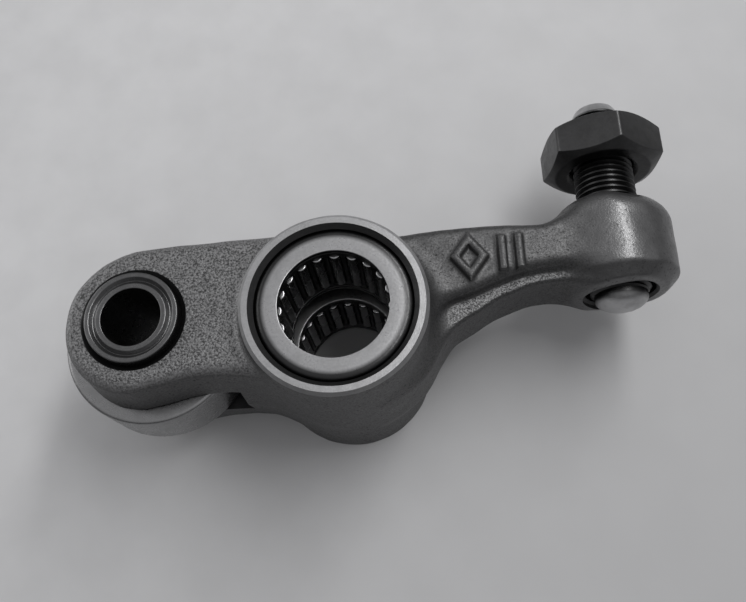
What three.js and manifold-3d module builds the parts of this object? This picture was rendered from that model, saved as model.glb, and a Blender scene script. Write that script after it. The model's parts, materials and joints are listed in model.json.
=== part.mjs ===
// Roller rocker arm carried on two drawn-cup needle roller bearings.
// Units are millimetres. +Z runs along the hub axis, +X from the hub towards the adjuster,
// +Y along the adjuster screw towards its lock nut. The hub stands on its lower face at Z = 0.
import * as THREE from 'three';
import { mergeVertices } from 'three/addons/utils/BufferGeometryUtils.js';
import Module from 'manifold-3d';

const wasm = await Module();
wasm.setup();

// ---- driving dimensions ----
const HUB_LENGTH = 28.8;
const HUB_RADIUS = 10.7;
const HUB_BORE_RADIUS = 9.03;
const HUB_MOUTH_RADIUS = 9.6;
const HUB_EDGE = 0.4;
const MID_Z = HUB_LENGTH / 2;

const CUP_RADIUS = 9.0;
const CUP_LENGTH = 12;
const CUP_RECESS = 0.4;
const CUP_CORNER = 0.9;
const LIP_THICKNESS = 0.8;
const LIP_RADIUS = 6.3;
const RACEWAY_RADIUS = 7.53;

const HUB_NEEDLES = 20;
const HUB_NEEDLE_RADIUS = 0.74;
const HUB_NEEDLE_PITCH_RADIUS = 6.76;
const HUB_NEEDLE_LENGTH = 8.4;
const HUB_CAGE_INNER = 6.36;
const HUB_CAGE_OUTER = 7.1;
const HUB_CAGE_LENGTH = 10.1;
const WINDOW_GAP = 0.05;

const AXLE_X = -23.7;
const AXLE_Y = 0.5;
const ROLLER_RADIUS = 10.9;
const ROLLER_WIDTH = 8;
const ROLLER_BORE_RADIUS = 7.7;
const ROLLER_EDGE = 0.5;
const ROLLER_NEEDLES = 10;
const ROLLER_NEEDLE_RADIUS = 1.22;
const ROLLER_NEEDLE_PITCH_RADIUS = 6.45;
const ROLLER_NEEDLE_LENGTH = 5.8;
const ROLLER_CAGE_INNER = 5.7;
const ROLLER_CAGE_OUTER = 7.2;
const ROLLER_CAGE_LENGTH = 7.6;

const PIN_RADIUS = 5.2;
const PIN_HOLE_RADIUS = 3.5;
const PIN_CREST_RADIUS = 5.5;
const PIN_PROUD = 1.0;
const PIN_SINK_RADIUS = 6.2;
const PIN_GROOVE_RADIUS = 4.55;
const PIN_GROOVE_HALF = 0.45;
const PIN_GROOVE_DEPTH = 0.5;
const FIT_GAP = 0.03;

const CHEEK_TOP = 25.3;
const CHEEK_BOTTOM = HUB_LENGTH - CHEEK_TOP;
const CHEEK_RADIUS = 8.9;
const CHEEK_EDGE = 1.4;
const SLOT_HALF = 4.3;
const SLOT_END_X = -12.4;

const WEB_TOP = 20.9;
const WEB_EDGE = 1.2;
const FLANGE_TOP = 18.9;
const FLANGE_EDGE = 0.5;
const MARK_HEIGHT = 0.8;

const ADJUSTER_X = 35;
const BOSS_RADIUS = 7.5;
const BOSS_NEAR_Y = 4.2;
const BOSS_FAR_Y = 15.7;
const BOSS_NEAR_RADIUS = 5.6;
const BOSS_NEAR_EDGE = 1.6;
const BOSS_FAR_EDGE = 1.4;
const TAPPED_RADIUS = 3.95;
const COUNTERBORE_RADIUS = 4.4;
const COUNTERBORE_DEPTH = 2;

const THREAD_RADIUS = 3.85;
const THREAD_ROOT_RADIUS = 3.4;
const THREAD_PITCH = 0.75;
const THREAD_SEGMENTS = 16;
const SCREW_TIP_Y = 1.9;
const SCREW_END_Y = 30.8;
const SCREW_DOME_LENGTH = 1.7;
const SCREW_END_LENGTH = 1.3;
const SCREW_END_RADIUS = 2.6;
const SLOT_WIDTH = 1.1;
const SLOT_DEPTH = 0.9;

const NUT_FLATS = 14;
const NUT_NEAR_Y = 21.4;
const NUT_THICKNESS = 5.6;
const NUT_TURN = 7;
const NUT_BORE_RADIUS = 3.95;
const NUT_CHAMFER_ANGLE = 30;
const NUT_FACE_RADIUS = 6.23;

const ROUND = 48;
const SMALL_ROUND = 10;

// The plan centre of the finished part, taken off every piece so the origin sits under it.
const CENTRE_X = 3.95;
const CENTRE_Y = 10.05;

const DEGREE = Math.PI / 180;

// ---- helpers ----
function signedVolume(geometry) {
  const p = geometry.attributes.position;
  const index = geometry.index;
  const a = new THREE.Vector3();
  const b = new THREE.Vector3();
  const c = new THREE.Vector3();
  let volume = 0;
  for (let i = 0; i < index.count; i += 3) {
    a.fromBufferAttribute(p, index.getX(i));
    b.fromBufferAttribute(p, index.getX(i + 1));
    c.fromBufferAttribute(p, index.getX(i + 2));
    volume += a.dot(b.cross(c)) / 6;
  }
  return volume;
}

function weld(geometry) {
  const plain = geometry.clone();
  plain.deleteAttribute('normal');
  plain.deleteAttribute('uv');
  const welded = mergeVertices(plain, 1e-4);
  const kept = [];
  for (let i = 0; i < welded.index.count; i += 3) {
    const [a, b, c] = [0, 1, 2].map((k) => welded.index.getX(i + k));
    if (a !== b && b !== c && c !== a) kept.push(a, b, c);
  }
  welded.setIndex(kept);
  if (signedVolume(welded) < 0) {
    for (let i = 0; i < kept.length; i += 3) [kept[i], kept[i + 1]] = [kept[i + 1], kept[i]];
    welded.setIndex(kept);
  }
  return welded;
}

function solid(geometry) {
  const g = weld(geometry);
  const vertProperties = new Float32Array(g.attributes.position.array);
  const triVerts = new Uint32Array(g.index.array);
  return new wasm.Manifold(new wasm.Mesh({ numProp: 3, vertProperties, triVerts }));
}

function toGeometry(body) {
  const mesh = body.getMesh();
  const g = new THREE.BufferGeometry();
  g.setAttribute('position', new THREE.BufferAttribute(new Float32Array(mesh.vertProperties), 3));
  g.setIndex(Array.from(mesh.triVerts));
  return g;
}

// Revolves [radius, height] points about +Z through (x, y).
function revolve(points, segments, x = 0, y = 0) {
  const profile = points.map(([r, z]) => new THREE.Vector2(Math.max(r, 0), z));
  return new THREE.LatheGeometry(profile, segments).rotateX(Math.PI / 2).translate(x, y, 0);
}

// Revolves [radius, distance] points about the adjuster axis, distance measured along +Y.
function revolveAlongY(points, segments, turn = 0) {
  const profile = points.map(([r, y]) => new THREE.Vector2(Math.max(r, 0), y));
  return new THREE.LatheGeometry(profile, segments).rotateY(turn).translate(ADJUSTER_X, 0, MID_Z);
}

function cylinder(radius, bottom, top, segments, x = 0, y = 0) {
  return revolve([[0, bottom], [radius, bottom], [radius, top], [0, top]], segments, x, y);
}

function cylinderAlongY(radius, near, far, segments) {
  return revolveAlongY([[0, near], [radius, near], [radius, far], [0, far]], segments);
}

function box(x0, x1, y0, y1, z0, z1) {
  const g = new THREE.BoxGeometry(x1 - x0, y1 - y0, z1 - z0);
  return g.translate((x0 + x1) / 2, (y0 + y1) / 2, (z0 + z1) / 2);
}

// The outline as straight steps, with no two points on top of each other.
function stepped(shape, steps) {
  const outline = shape.getPoints(steps);
  const kept = outline.filter((p, i) => p.distanceTo(outline[(i + 1) % outline.length]) > 0.01);
  const result = new THREE.Shape(kept);
  result.holes = shape.holes;
  return result;
}

// Plate between two heights whose top and bottom edges are rounded by `edge`.
function plate(shape, steps, bottom, top, edge) {
  const g = new THREE.ExtrudeGeometry(stepped(shape, steps), {
    depth: top - bottom - 2 * edge,
    bevelEnabled: edge > 0,
    bevelThickness: edge,
    bevelSize: edge,
    bevelOffset: -edge,
    bevelSegments: 3,
  });
  return g.translate(0, 0, bottom + edge);
}

function points2(list) {
  return list.map(([x, y]) => new THREE.Vector2(x, y));
}

function ringAt(radius, index, count) {
  const angle = (index / count) * 2 * Math.PI;
  return [radius * Math.cos(angle), radius * Math.sin(angle)];
}

function steel(color, roughness, metalness) {
  return new THREE.MeshStandardMaterial({ color, roughness, metalness });
}

const part = new THREE.Group();

function addPiece(name, geometry, material) {
  const g = weld(geometry).translate(-CENTRE_X, -CENTRE_Y, 0).toNonIndexed();
  g.computeVertexNormals();
  const mesh = new THREE.Mesh(g, material);
  mesh.name = name;
  part.add(mesh);
}

// ---- rocker arm forging ----
function forkOutline() {
  const s = new THREE.Shape();
  s.moveTo(0, 10.6);
  s.lineTo(-8, 10.6);
  s.lineTo(AXLE_X + 0.6, AXLE_Y + CHEEK_RADIUS);
  s.absarc(AXLE_X, AXLE_Y, CHEEK_RADIUS, 92 * DEGREE, 290 * DEGREE, false);
  s.lineTo(-17, -7.1);
  s.lineTo(-13, -7.1);
  s.quadraticCurveTo(-8.3, -7.1, -6.5, -8.4);
  s.lineTo(0, -8.4);
  return s;
}

const FAR_EDGE = [[8, 11.6], [14, 12.1], [20, 12.2], [24.6, 12.0], [26.5, 12.5], [28.3, 13.3], [30, 14.4]];
const WEB_NEAR_EDGE = [[25, 6.0], [22, 5.5], [19.5, 4.7], [16, 3.3], [13, 2.4], [9.5, 1.2]];
const FLANGE_NEAR_EDGE = [[24.5, 4.6], [22, 3.9], [19.4, 2.9], [17, 1.5], [14, -0.3], [11.7, -2.6], [8.6, -6.2]];

function webOutline() {
  const s = new THREE.Shape();
  s.moveTo(0, 10.6);
  s.splineThru(points2(FAR_EDGE));
  s.lineTo(ADJUSTER_X - 1, 15.0);
  s.lineTo(ADJUSTER_X, 6.4);
  s.lineTo(29, 6.2);
  s.splineThru(points2(WEB_NEAR_EDGE));
  s.lineTo(0, 1.2);
  return s;
}

function flangeOutline() {
  const s = new THREE.Shape();
  s.moveTo(0, 10.6);
  s.splineThru(points2(FAR_EDGE.map(([x, y]) => [x, y + 0.3])));
  s.lineTo(ADJUSTER_X - 1, 15.2);
  s.lineTo(ADJUSTER_X, 4.9);
  s.lineTo(28, 4.8);
  s.splineThru(points2(FLANGE_NEAR_EDGE));
  s.lineTo(0, -6.2);
  return s;
}

function bossProfile() {
  return [
    [0, BOSS_NEAR_Y],
    [BOSS_NEAR_RADIUS, BOSS_NEAR_Y],
    [BOSS_RADIUS - BOSS_NEAR_EDGE / 3, BOSS_NEAR_Y + BOSS_NEAR_EDGE / 3],
    [BOSS_RADIUS, BOSS_NEAR_Y + BOSS_NEAR_EDGE],
    [BOSS_RADIUS, BOSS_FAR_Y - BOSS_FAR_EDGE],
    [BOSS_RADIUS - BOSS_FAR_EDGE, BOSS_FAR_Y],
    [0, BOSS_FAR_Y],
  ];
}

function hubBoreProfile() {
  const mouth = HUB_MOUTH_RADIUS - HUB_BORE_RADIUS;
  return [
    [0, -1],
    [HUB_MOUTH_RADIUS, -1],
    [HUB_MOUTH_RADIUS, 0],
    [HUB_BORE_RADIUS, mouth],
    [HUB_BORE_RADIUS, HUB_LENGTH - mouth],
    [HUB_MOUTH_RADIUS, HUB_LENGTH],
    [HUB_MOUTH_RADIUS, HUB_LENGTH + 1],
    [0, HUB_LENGTH + 1],
  ];
}

function hubProfile() {
  return [
    [0, 0],
    [HUB_RADIUS - HUB_EDGE, 0],
    [HUB_RADIUS, HUB_EDGE],
    [HUB_RADIUS, HUB_LENGTH - HUB_EDGE],
    [HUB_RADIUS - HUB_EDGE, HUB_LENGTH],
    [0, HUB_LENGTH],
  ];
}

// Generic raised foundry mark: a diamond frame and two short bars.
function diamond(halfX, halfY) {
  const path = [[halfX, 0], [0, halfY], [-halfX, 0], [0, -halfY]];
  return points2(path);
}

function foundryMark() {
  const frame = new THREE.Shape(diamond(2.3, 3.0));
  frame.holes.push(new THREE.Path(diamond(1.2, 1.6)));
  const bottom = WEB_TOP - 0.5;
  const top = WEB_TOP + MARK_HEIGHT;
  const bodies = [solid(plate(frame, 1, bottom, top, 0).translate(15.9, 7.6, 0))];
  for (const [x, y] of [[19.9, 7.9], [22, 8]]) {
    bodies.push(solid(box(x - 0.5, x + 0.5, y - 2.3, y + 2.3, bottom, top)));
  }
  return bodies;
}

// Hole for the roller's pin, countersunk at both cheeks.
function pinHoleProfile() {
  const radius = PIN_RADIUS + FIT_GAP;
  const sink = PIN_SINK_RADIUS - radius;
  return [
    [0, CHEEK_BOTTOM - 1],
    [PIN_SINK_RADIUS + 1, CHEEK_BOTTOM - 1],
    [radius, CHEEK_BOTTOM + sink],
    [radius, CHEEK_TOP - sink],
    [PIN_SINK_RADIUS + 1, CHEEK_TOP + 1],
    [0, CHEEK_TOP + 1],
  ];
}

function rockerArm() {
  let arm = solid(revolve(hubProfile(), ROUND));
  const added = [
    solid(plate(forkOutline(), 10, CHEEK_BOTTOM, CHEEK_TOP, CHEEK_EDGE)),
    solid(plate(webOutline(), 2, HUB_LENGTH - WEB_TOP, WEB_TOP, WEB_EDGE)),
    solid(plate(flangeOutline(), 2, HUB_LENGTH - FLANGE_TOP, FLANGE_TOP, FLANGE_EDGE)),
    solid(revolveAlongY(bossProfile(), ROUND)),
    ...foundryMark(),
  ];
  for (const body of added) arm = arm.add(body);
  const counterbore = BOSS_NEAR_Y + COUNTERBORE_DEPTH;
  const cut = [
    solid(revolve(hubBoreProfile(), ROUND)),
    solid(box(-40, SLOT_END_X, -15, 15, MID_Z - SLOT_HALF, MID_Z + SLOT_HALF)),
    solid(revolve(pinHoleProfile(), ROUND, AXLE_X, AXLE_Y)),
    solid(cylinderAlongY(TAPPED_RADIUS, 0, 20, ROUND)),
    solid(cylinderAlongY(COUNTERBORE_RADIUS, 0, counterbore, ROUND)),
  ];
  for (const body of cut) arm = arm.subtract(body);
  return toGeometry(arm);
}

// ---- hub bearings ----
function cupProfile(bottom) {
  const top = bottom + CUP_LENGTH;
  const bend = CUP_CORNER * (1 - Math.SQRT1_2);
  return [
    [LIP_RADIUS, bottom],
    [CUP_RADIUS - CUP_CORNER, bottom],
    [CUP_RADIUS - bend, bottom + bend],
    [CUP_RADIUS, bottom + CUP_CORNER],
    [CUP_RADIUS, top - CUP_CORNER],
    [CUP_RADIUS - bend, top - bend],
    [CUP_RADIUS - CUP_CORNER, top],
    [LIP_RADIUS, top],
    [LIP_RADIUS, top - LIP_THICKNESS],
    [RACEWAY_RADIUS, top - LIP_THICKNESS],
    [RACEWAY_RADIUS, bottom + LIP_THICKNESS],
    [LIP_RADIUS, bottom + LIP_THICKNESS],
    [LIP_RADIUS, bottom],
  ];
}

// Ring with one window for each needle.
function windowedCage({ inner, outer, length, count, needleRadius, needleLength, x, y, z }) {
  const half = length / 2;
  const ring = [[inner, -half], [outer, -half], [outer, half], [inner, half], [inner, -half]];
  let cage = solid(revolve(ring, count * 3));
  const halfWidth = needleRadius + WINDOW_GAP;
  const halfLength = needleLength / 2 + WINDOW_GAP;
  for (let i = 0; i < count; i += 1) {
    const window = box(inner - 1, outer + 1, -halfWidth, halfWidth, -halfLength, halfLength);
    cage = cage.subtract(solid(window.rotateZ((i / count) * 2 * Math.PI)));
  }
  return toGeometry(cage).translate(x, y, z);
}

function needle(radius, length, x, y, z) {
  const half = length / 2;
  const edge = radius * 0.25;
  const profile = [
    [0, -half],
    [radius - edge, -half],
    [radius, -half + edge],
    [radius, half - edge],
    [radius - edge, half],
    [0, half],
  ];
  return revolve(profile, SMALL_ROUND).translate(x, y, z);
}

function number(index) {
  return String(index + 1).padStart(2, '0');
}

function hubBearing(label, bottom) {
  const middle = bottom + CUP_LENGTH / 2;
  addPiece(`${label}_cup`, revolve(cupProfile(bottom), ROUND), steel(0x9a9a9c, 0.32, 0.85));
  const cage = windowedCage({
    inner: HUB_CAGE_INNER,
    outer: HUB_CAGE_OUTER,
    length: HUB_CAGE_LENGTH,
    count: HUB_NEEDLES,
    needleRadius: HUB_NEEDLE_RADIUS,
    needleLength: HUB_NEEDLE_LENGTH,
    x: 0,
    y: 0,
    z: middle,
  });
  addPiece(`${label}_cage`, cage, steel(0x4c4c4e, 0.5, 0.8));
  for (let i = 0; i < HUB_NEEDLES; i += 1) {
    const [x, y] = ringAt(HUB_NEEDLE_PITCH_RADIUS, i, HUB_NEEDLES);
    const body = needle(HUB_NEEDLE_RADIUS, HUB_NEEDLE_LENGTH, x, y, middle);
    addPiece(`${label}_needle_${number(i)}`, body, steel(0xb4b4b6, 0.18, 0.95));
  }
}

// ---- roller and its pin ----
function pinEnd(face, outward) {
  const end = face + outward * PIN_PROUD;
  const floor = end - outward * PIN_GROOVE_DEPTH;
  const sink = PIN_SINK_RADIUS - PIN_RADIUS - FIT_GAP;
  return [
    [PIN_RADIUS, face - outward * sink],
    [PIN_CREST_RADIUS, face - outward * (sink - PIN_CREST_RADIUS + PIN_RADIUS - 0.02)],
    [PIN_CREST_RADIUS, end],
    [PIN_GROOVE_RADIUS + PIN_GROOVE_HALF, end],
    [PIN_GROOVE_RADIUS, floor],
    [PIN_GROOVE_RADIUS - PIN_GROOVE_HALF, end],
    [PIN_HOLE_RADIUS, end],
  ];
}

function rollerPin() {
  const top = pinEnd(CHEEK_TOP, 1);
  const bottom = pinEnd(CHEEK_BOTTOM, -1).reverse();
  return revolve([...bottom, ...top, bottom[0]], ROUND, AXLE_X, AXLE_Y);
}

function camRoller() {
  const half = ROLLER_WIDTH / 2;
  const edge = ROLLER_EDGE;
  const profile = [
    [ROLLER_BORE_RADIUS, MID_Z - half],
    [ROLLER_RADIUS - edge, MID_Z - half],
    [ROLLER_RADIUS, MID_Z - half + edge],
    [ROLLER_RADIUS, MID_Z + half - edge],
    [ROLLER_RADIUS - edge, MID_Z + half],
    [ROLLER_BORE_RADIUS, MID_Z + half],
    [ROLLER_BORE_RADIUS, MID_Z - half],
  ];
  return revolve(profile, ROUND, AXLE_X, AXLE_Y);
}

function rollerSet() {
  addPiece('roller_pin', rollerPin(), steel(0x77777a, 0.35, 0.85));
  addPiece('cam_roller', camRoller(), steel(0xb0b0b3, 0.15, 0.95));
  const cage = windowedCage({
    inner: ROLLER_CAGE_INNER,
    outer: ROLLER_CAGE_OUTER,
    length: ROLLER_CAGE_LENGTH,
    count: ROLLER_NEEDLES,
    needleRadius: ROLLER_NEEDLE_RADIUS,
    needleLength: ROLLER_NEEDLE_LENGTH,
    x: AXLE_X,
    y: AXLE_Y,
    z: MID_Z,
  });
  addPiece('roller_cage', cage, steel(0x4c4c4e, 0.5, 0.8));
  for (let i = 0; i < ROLLER_NEEDLES; i += 1) {
    const [x, y] = ringAt(ROLLER_NEEDLE_PITCH_RADIUS, i, ROLLER_NEEDLES);
    const body = needle(ROLLER_NEEDLE_RADIUS, ROLLER_NEEDLE_LENGTH, AXLE_X + x, AXLE_Y + y, MID_Z);
    addPiece(`roller_needle_${number(i)}`, body, steel(0xb4b4b6, 0.18, 0.95));
  }
}

// ---- adjuster ----
// Helical thread. Each row of points climbs by one pitch around the axis; even rows lie on the
// crest and odd rows on the root. Points past either end are held on a flat root ring.
function helicalThread(near, far, segments) {
  const rows = 2 * Math.ceil((far - near) / THREAD_PITCH) + 2;
  const vertices = [];
  for (let row = 0; row <= rows; row += 1) {
    for (let i = 0; i < segments; i += 1) {
      const climb = near + THREAD_PITCH * (row / 2 + i / segments - 1);
      const inside = climb > near && climb < far;
      const radius = inside && row % 2 === 0 ? THREAD_RADIUS : THREAD_ROOT_RADIUS;
      const angle = (i / segments) * 2 * Math.PI;
      const along = Math.min(Math.max(climb, near), far);
      vertices.push(radius * Math.cos(angle), along, radius * Math.sin(angle));
    }
  }
  const nearCentre = vertices.length / 3;
  const farCentre = nearCentre + 1;
  vertices.push(0, near, 0, 0, far, 0);
  // The point after the end of a row is the first point two rows further on.
  const at = (row, i) => (i < segments ? row * segments + i : Math.min(row + 2, rows) * segments);
  const faces = [];
  for (let i = 0; i < segments; i += 1) {
    for (let row = 0; row < rows; row += 1) {
      faces.push(at(row, i), at(row + 1, i), at(row + 1, i + 1));
      faces.push(at(row, i), at(row + 1, i + 1), at(row, i + 1));
    }
    const next = (i + 1) % segments;
    faces.push(nearCentre, i, next);
    faces.push(farCentre, rows * segments + next, rows * segments + i);
  }
  const g = new THREE.BufferGeometry();
  g.setAttribute('position', new THREE.BufferAttribute(new Float32Array(vertices), 3));
  g.setIndex(faces);
  return g.translate(ADJUSTER_X, 0, MID_Z);
}

function adjusterScrew() {
  const tip = SCREW_TIP_Y;
  const end = SCREW_END_Y;
  const plain = THREAD_ROOT_RADIUS - 0.05;
  const threadNear = tip + SCREW_DOME_LENGTH + 0.4;
  const threadFar = end - SCREW_END_LENGTH;
  const dome = [[0, tip]];
  for (const a of [25, 50, 70]) {
    const along = tip + SCREW_DOME_LENGTH * (1 - Math.cos(a * DEGREE));
    dome.push([plain * Math.sin(a * DEGREE), along]);
  }
  dome.push([plain, tip + SCREW_DOME_LENGTH], [plain, threadNear + 1], [0, threadNear + 1]);
  const cone = [
    [0, threadFar - 1],
    [plain, threadFar - 1],
    [plain, threadFar],
    [SCREW_END_RADIUS, end],
    [0, end],
  ];
  const x = ADJUSTER_X;
  const slot = box(x - 5, x + 5, end - SLOT_DEPTH, end + 1, MID_Z - SLOT_WIDTH / 2, MID_Z + SLOT_WIDTH / 2);
  const screw = solid(helicalThread(threadNear, threadFar, THREAD_SEGMENTS))
    .add(solid(revolveAlongY(dome, 32)))
    .add(solid(revolveAlongY(cone, 32)))
    .subtract(solid(slot));
  return toGeometry(screw);
}

function lockNut() {
  const near = NUT_NEAR_Y;
  const far = NUT_NEAR_Y + NUT_THICKNESS;
  const corner = NUT_FLATS / Math.sqrt(3);
  const rise = NUT_THICKNESS / 2;
  const widest = NUT_FACE_RADIUS + rise / Math.tan(NUT_CHAMFER_ANGLE * DEGREE);
  const prism = [[0, near], [corner, near], [corner, far], [0, far]];
  const chamfer = [
    [0, near],
    [NUT_FACE_RADIUS, near],
    [widest, near + rise],
    [NUT_FACE_RADIUS, far],
    [0, far],
  ];
  const sink = NUT_BORE_RADIUS + 0.6;
  const bore = [
    [0, near - 1],
    [sink, near - 1],
    [sink, near],
    [NUT_BORE_RADIUS, near + 0.6],
    [NUT_BORE_RADIUS, far - 0.6],
    [sink, far],
    [sink, far + 1],
    [0, far + 1],
  ];
  const nut = solid(revolveAlongY(prism, 6, NUT_TURN * DEGREE))
    .intersect(solid(revolveAlongY(chamfer, ROUND)))
    .subtract(solid(revolveAlongY(bore, ROUND)));
  return toGeometry(nut);
}

// ---- the whole part ----
addPiece('rocker_arm', rockerArm(), steel(0x6b6b6d, 0.62, 0.6));
hubBearing('lower', CUP_RECESS);
hubBearing('upper', HUB_LENGTH - CUP_RECESS - CUP_LENGTH);
rollerSet();
addPiece('adjuster_screw', adjusterScrew(), steel(0x3a3a3c, 0.45, 0.8));
addPiece('lock_nut', lockNut(), steel(0x29292b, 0.4, 0.7));

export default part;
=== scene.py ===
"""Looks of a roller rocker arm: a forged lever that carries two needle bearings in its hub.

Shapes are made in millimetres from the hub's axis, with z above the floor, and placed in metres.
"""

import itertools
import json
import math

import bmesh
import bpy
import numpy as np
from mathutils import Matrix, Vector


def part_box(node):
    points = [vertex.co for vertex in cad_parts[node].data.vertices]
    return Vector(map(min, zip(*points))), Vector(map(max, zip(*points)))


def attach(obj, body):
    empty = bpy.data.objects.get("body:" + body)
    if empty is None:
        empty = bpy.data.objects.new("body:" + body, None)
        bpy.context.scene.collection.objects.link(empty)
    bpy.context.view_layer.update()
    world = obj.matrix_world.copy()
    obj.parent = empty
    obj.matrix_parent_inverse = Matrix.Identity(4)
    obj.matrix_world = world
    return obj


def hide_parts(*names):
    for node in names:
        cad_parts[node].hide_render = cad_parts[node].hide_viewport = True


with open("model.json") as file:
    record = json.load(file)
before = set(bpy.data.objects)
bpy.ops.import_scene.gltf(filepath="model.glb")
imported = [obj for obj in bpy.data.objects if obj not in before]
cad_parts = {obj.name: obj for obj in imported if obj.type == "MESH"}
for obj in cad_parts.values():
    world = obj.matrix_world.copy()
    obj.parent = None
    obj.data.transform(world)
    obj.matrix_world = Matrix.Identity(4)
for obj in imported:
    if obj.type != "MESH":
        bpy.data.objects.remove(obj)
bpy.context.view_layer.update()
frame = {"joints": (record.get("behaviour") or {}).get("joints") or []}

# ---- the frame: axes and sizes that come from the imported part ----
MM = 0.001
JOINTS = {joint["name"]: joint for joint in frame["joints"]}
HUB_AXIS = Vector(JOINTS["upper_cage_spin"]["pos_m"])
ORIGIN = np.array([HUB_AXIS.x, HUB_AXIS.y, 0.0])


def local_box(node):
    """Lowest and highest corner of a CAD node, in millimetres from the hub's axis."""
    low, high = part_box(node)
    return (np.array(low) - ORIGIN) / MM, (np.array(high) - ORIGIN) / MM


ARM_LOW, ARM_HIGH = local_box("rocker_arm")
HUB_LENGTH = ARM_HIGH[2] - ARM_LOW[2]
MIDDLE = (ARM_LOW[2] + ARM_HIGH[2]) / 2
AXLE = (np.array(JOINTS["roller_spin"]["pos_m"]) - ORIGIN) / MM
CUP_LOW, CUP_HIGH = local_box("upper_cup")
PIN_LOW, PIN_HIGH = local_box("roller_pin")
ROLLER_LOW, ROLLER_HIGH = local_box("cam_roller")
SCREW_LOW, SCREW_HIGH = local_box("adjuster_screw")
NUT_LOW, NUT_HIGH = local_box("lock_nut")
SCREW_X = (SCREW_LOW[0] + SCREW_HIGH[0]) / 2

# ---- driving dimensions, in millimetres ----
HUB_RADIUS = 10.7
HUB_BORE = 9.03
HUB_MOUTH = 9.6
HUB_EDGE = 0.4

CHEEK_HALF = 10.9
CHEEK_EDGE = 1.3
SLOT_HALF = 4.3
SLOT_END = -12.4
DRAFT = 0.1
WEB_HALF = 6.5
WEB_EDGE = 1.2
FLANGE_HALF = 4.4
FLANGE_EDGE = 0.5

MARK_HEIGHT = 0.8
MARK_EDGE = 0.4
MARK_LINE_HALF = 0.5
DIAMOND_AT = (15.9, 7.6)
DIAMOND_HALF = (1.75, 2.3)
BARS_AT = [(19.9, 7.9), (22.0, 8.0)]
BAR_HALF_LENGTH = 2.3

BOSS_RADIUS = 7.45
BOSS_NEAR = 4.2
BOSS_FAR = 15.7
BOSS_STOCK = 0.1  # forged on past the far face, then machined off for the nut's seat
BOSS_EDGE = 0.6
BOSS_CHAMFER = 1.6
BOSS_FAR_CHAMFER = 1.9
TAPPED_RADIUS = 3.95
COUNTERBORE = 4.4
COUNTERBORE_DEPTH = 2.0

LIP_RADIUS = 6.3
LIP_THICKNESS = 0.8
RACEWAY_RADIUS = 7.53
CUP_CORNER = 0.9
HUB_NEEDLES = 20
HUB_NEEDLE_RADIUS = 0.74
HUB_CAGE_WALL = 0.74
ROLLER_NEEDLES = 10
ROLLER_NEEDLE_RADIUS = 1.22
ROLLER_CAGE_WALL = 1.5
WINDOW_GAP = 0.05

PIN_RADIUS = 5.2
PIN_HOLE = 3.5
PIN_CREST = 5.5
PIN_SINK = 6.2
PIN_FIT = 0.03
GROOVE_RADIUS = 4.55
GROOVE_DEPTH = 0.5
ROLLER_BORE = 7.7
ROLLER_EDGE = 0.5

THREAD_PITCH = 0.75
THREAD_ROOT = 3.4
DOME_LENGTH = 1.7
SCREW_END_RADIUS = 2.6
DRIVER_SLOT_HALF = 0.55
DRIVER_SLOT_DEPTH = 0.9
NUT_FLATS = 14.0
NUT_TURN = 7.0
NUT_CHAMFER = 30.0
NUT_FACE_RADIUS = NUT_FLATS * 0.445
NUT_BORE = 4.0
NUT_MOUTH = 4.6
NUT_MOUTH_DEPTH = 0.55
NUT_EDGE = 0.12

FLOOR_REACH = 2.0  # metres
ROOM_LOW = 0.05
ROOM_HIGH = 0.52

GRID = 0.25
ROUND = 144


# ---- meshes ----
def new_object(name, vertices, faces, at=(0, 0, 0)):
    """Object from points in millimetres from the hub's axis, with its origin at `at`."""
    mesh = bpy.data.meshes.new(name)
    place = ORIGIN + np.array(at, float) * MM
    mesh.from_pydata((np.asarray(vertices, float) * MM).tolist(), [], [list(f) for f in faces])
    mesh.validate()
    obj = bpy.data.objects.new(name, mesh)
    obj.location = place
    bpy.context.scene.collection.objects.link(obj)
    return obj


def smooth(obj, angle=30):
    mesh = obj.data
    mesh.polygons.foreach_set("use_smooth", [True] * len(mesh.polygons))
    mesh.set_sharp_from_angle(angle=math.radians(angle))
    return obj


def softened(points, closed=False, steps=3):
    """Path of (u, v) or (u, v, size) points; a corner with a size is rounded over that length."""
    path = []
    count = len(points)
    for i, point in enumerate(points):
        here = np.array(point[:2], float)
        size = point[2] if len(point) > 2 else 0
        if not size or (not closed and i in (0, count - 1)):
            path.append(here)
            continue
        before = np.array(points[i - 1][:2], float) - here
        after = np.array(points[(i + 1) % count][:2], float) - here
        start = here + before / np.linalg.norm(before) * size
        end = here + after / np.linalg.norm(after) * size
        for k in range(steps + 1):
            t = k / steps
            path.append((1 - t) ** 2 * start + 2 * t * (1 - t) * here + t * t * end)
    return path


def revolved(path, segments=ROUND, closed=False, angles=None):
    """Vertices and faces of a profile of (radius, height) points turned about the z axis."""
    turns = np.arange(segments) * 2 * math.pi / segments if angles is None else np.array(angles)
    segments = len(turns)
    vertices, rings = [], []
    for radius, height in path:
        if radius < 1e-6:
            rings.append([len(vertices)] * segments)
            vertices.append((0, 0, height))
            continue
        rings.append(list(range(len(vertices), len(vertices) + segments)))
        vertices += [(radius * math.cos(a), radius * math.sin(a), height) for a in turns]
    pairs = list(zip(rings, rings[1:] + rings[:1] if closed else rings[1:]))
    faces = []
    for low, high in pairs:
        for j in range(segments):
            k = (j + 1) % segments
            corners = [low[j], low[k], high[k], high[j]]
            faces.append([c for n, c in enumerate(corners) if c not in corners[:n]])
    return np.array(vertices, float), faces


def along_y(vertices):
    """Turns points made about the z axis to lie about the screw's axis."""
    x, y, z = np.asarray(vertices, float).T
    return np.stack([SCREW_X + x, z, MIDDLE - y], axis=1)


def at_axle(path):
    """Closed turned body on the roller's axis."""
    vertices, faces = revolved(path)
    return vertices + [AXLE[0], AXLE[1], 0], faces


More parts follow.
